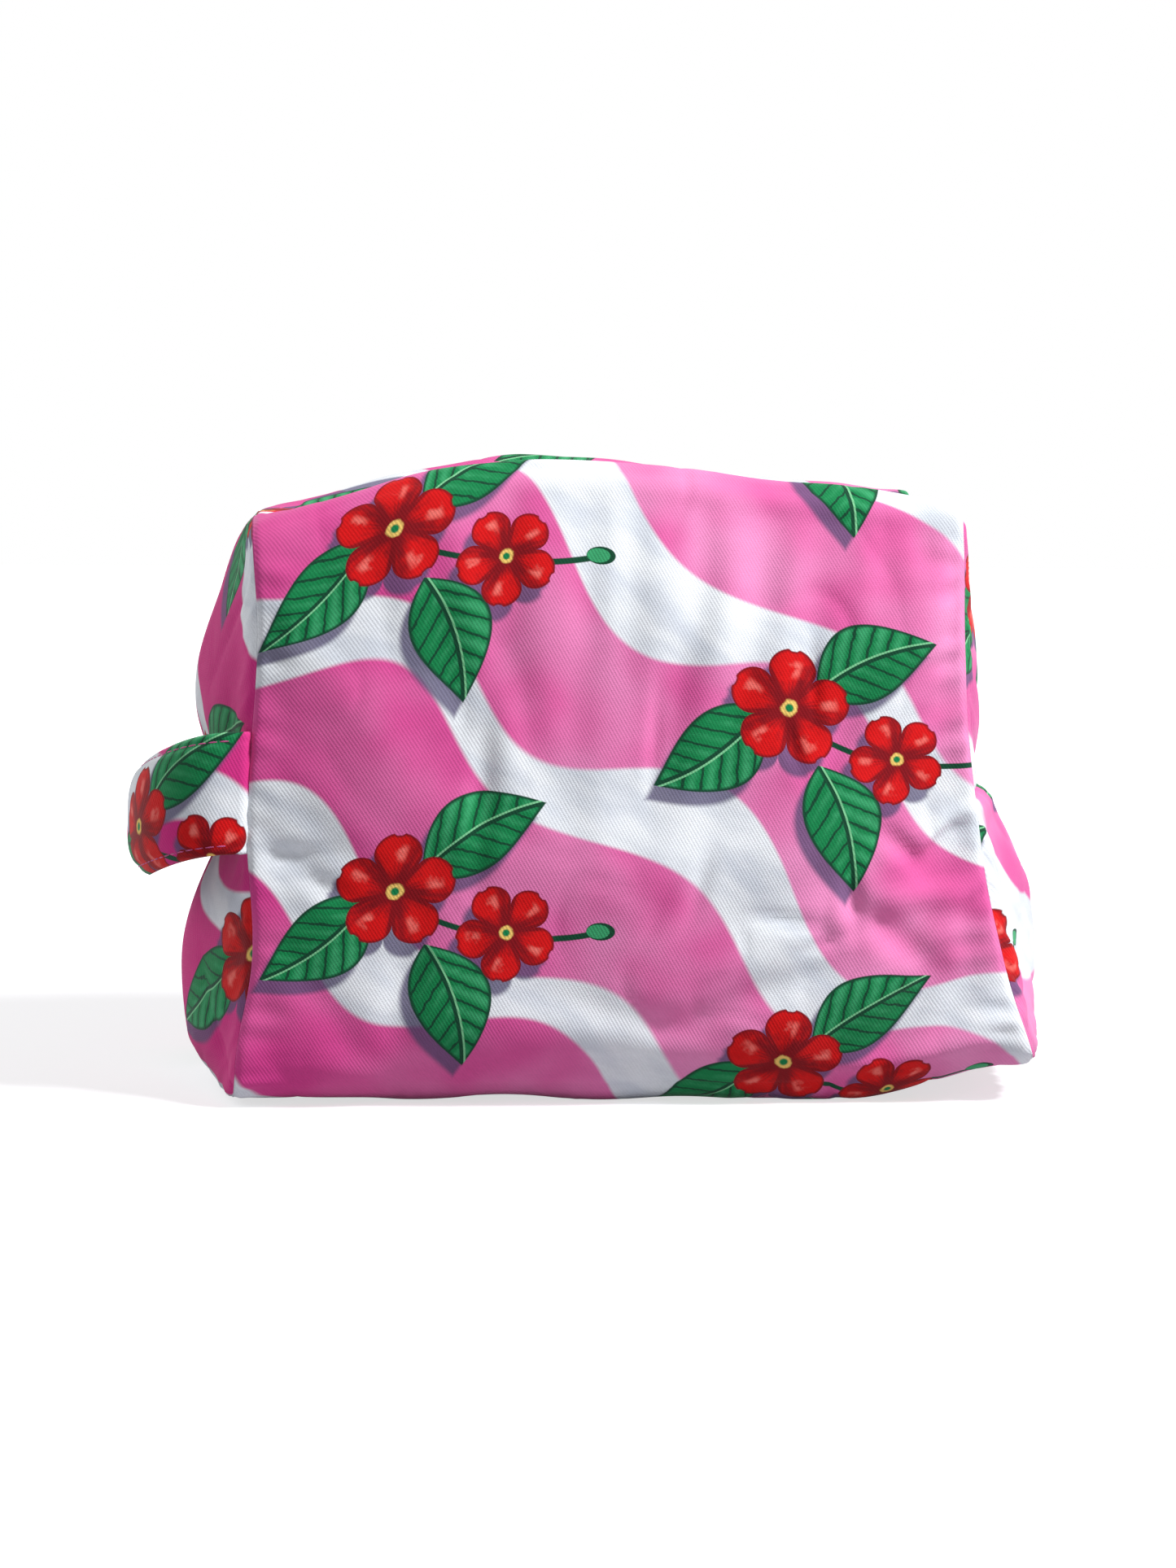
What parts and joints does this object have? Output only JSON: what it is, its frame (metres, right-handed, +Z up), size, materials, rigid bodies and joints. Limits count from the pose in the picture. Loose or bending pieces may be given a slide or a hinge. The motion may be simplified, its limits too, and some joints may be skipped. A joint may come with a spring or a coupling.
{
  "type": "cosmetic bag",
  "caption": "Soft boxed zip pouch in printed cotton twill, lined and padded, with a top zipper and a wide cloth carry strap across one end.",
  "frame": {"origin": "centre of the flat underside of the base, on the surface the pouch stands on", "axes": "+X towards the right end, away from the carry strap; +Y towards the back panel; +Z up"},
  "size_m": [0.2352, 0.1202, 0.159],
  "materials": {
    "printed_cloth": "cotton twill printed in pink, white, red and green",
    "padding": "soft needled wadding",
    "lining": "plain smooth lining",
    "tape": "woven zipper tape",
    "teeth": "moulded plastic",
    "metal": "plated zinc"
  },
  "bodies": {
    "pouch": {"front_panel": "printed_cloth", "back_panel": "printed_cloth", "base_panel": "printed_cloth", "left_end_upper": "printed_cloth", "left_end_lower": "printed_cloth", "right_end_upper": "printed_cloth", "right_end_lower": "printed_cloth", "left_top_end": "printed_cloth", "right_top_end": "printed_cloth", "carry_strap": "printed_cloth", "front_padding": "padding", "back_padding": "padding", "base_padding": "padding", "left_padding": "padding", "right_padding": "padding", "front_lining": "lining", "back_lining": "lining", "base_lining": "lining", "left_lining": "lining", "right_lining": "lining", "left_teeth_front": "teeth", "left_teeth_back": "teeth", "right_teeth_front": "teeth", "right_teeth_back": "teeth", "top_stop_front": "metal", "top_stop_back": "metal", "bottom_stop": "metal", "left_tape_end": "tape", "right_tape_end": "tape"},
    "front_opening": {"front_flap": "printed_cloth", "front_flap_padding": "padding", "front_flap_lining": "lining", "front_zip_tape": "tape", "front_zip_teeth": "teeth"},
    "back_opening": {"back_flap": "printed_cloth", "back_flap_padding": "padding", "back_flap_lining": "lining", "back_zip_tape": "tape", "back_zip_teeth": "teeth"},
    "slider": {"zip_slider": "metal"},
    "pull": {"zip_pull": "metal"}
  },
  "joints": [
    {"name": "front_opening_fold", "type": "hinge", "parent": "pouch", "child": "front_opening", "pos_m": [-0.0075, -0.0264, 0.1453], "axis": [1, 0, 0], "range_deg": [0, 70]},
    {"name": "back_opening_fold", "type": "hinge", "parent": "pouch", "child": "back_opening", "pos_m": [-0.0075, 0.0264, 0.1453], "axis": [-1, 0, 0], "range_deg": [0, 70]},
    {"name": "slider_run", "type": "slide", "parent": "pouch", "child": "slider", "axis": [-1, 0, 0], "range_m": [0, 0.132], "deforming": ["front_zip_teeth", "back_zip_teeth", "left_teeth_front", "left_teeth_back"]},
    {"name": "pull_pivot", "type": "hinge", "parent": "slider", "child": "pull", "pos_m": [0.0585, 0, 0.1473], "axis": [0, -1, 0], "range_deg": [0, 160]}
  ]
}
